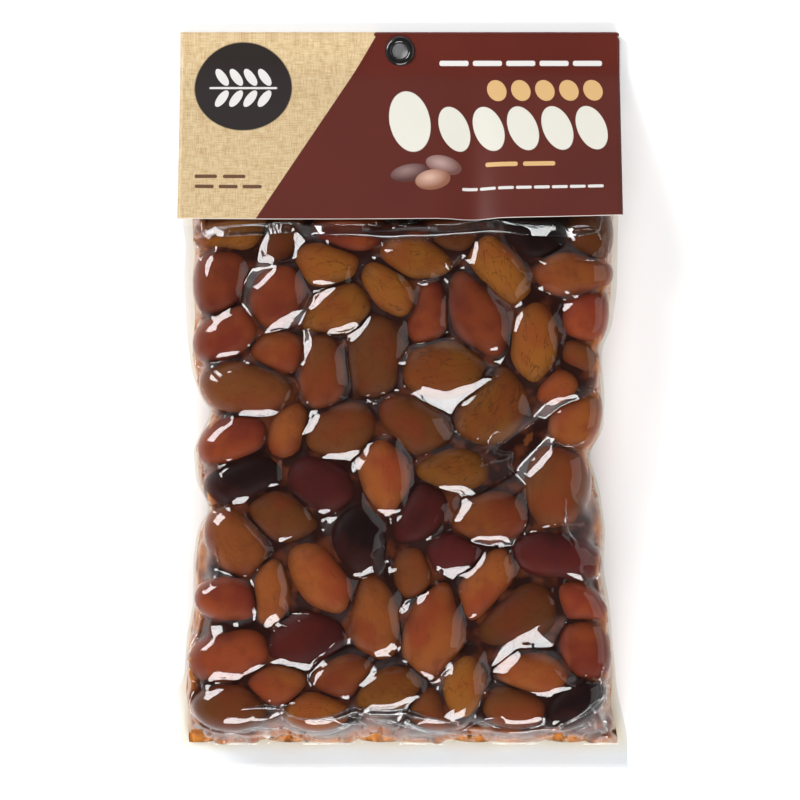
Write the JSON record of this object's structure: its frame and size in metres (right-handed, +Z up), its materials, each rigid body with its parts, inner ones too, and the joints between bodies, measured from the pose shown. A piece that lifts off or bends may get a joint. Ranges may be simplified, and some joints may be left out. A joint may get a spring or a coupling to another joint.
{
  "type": "vacuum pack of olives with header card",
  "caption": "Clear shrunk-tight plastic pack of whole olives in oil, flat seal along the bottom, folded card over the top with a round hanging eyelet, lying on its back.",
  "frame": {"origin": "middle of the pack's outline, on the surface that it lies on", "axes": "+X to the pack's right as its front is read, +Y along the pack to the header card's fold, +Z up out of the front"},
  "size_m": [0.135, 0.218, 0.029],
  "materials": {
    "olives_in_film": "clear glossy film, tight over brown, tan, red and near-black olives in oil",
    "header_board": "satin printed board, maroon with a pale hessian field",
    "black_enamel": "glossy black"
  },
  "bodies": {
    "root": {"bag": "olives_in_film", "header_card": "header_board", "eyelet": "black_enamel"}
  },
  "joints": []
}
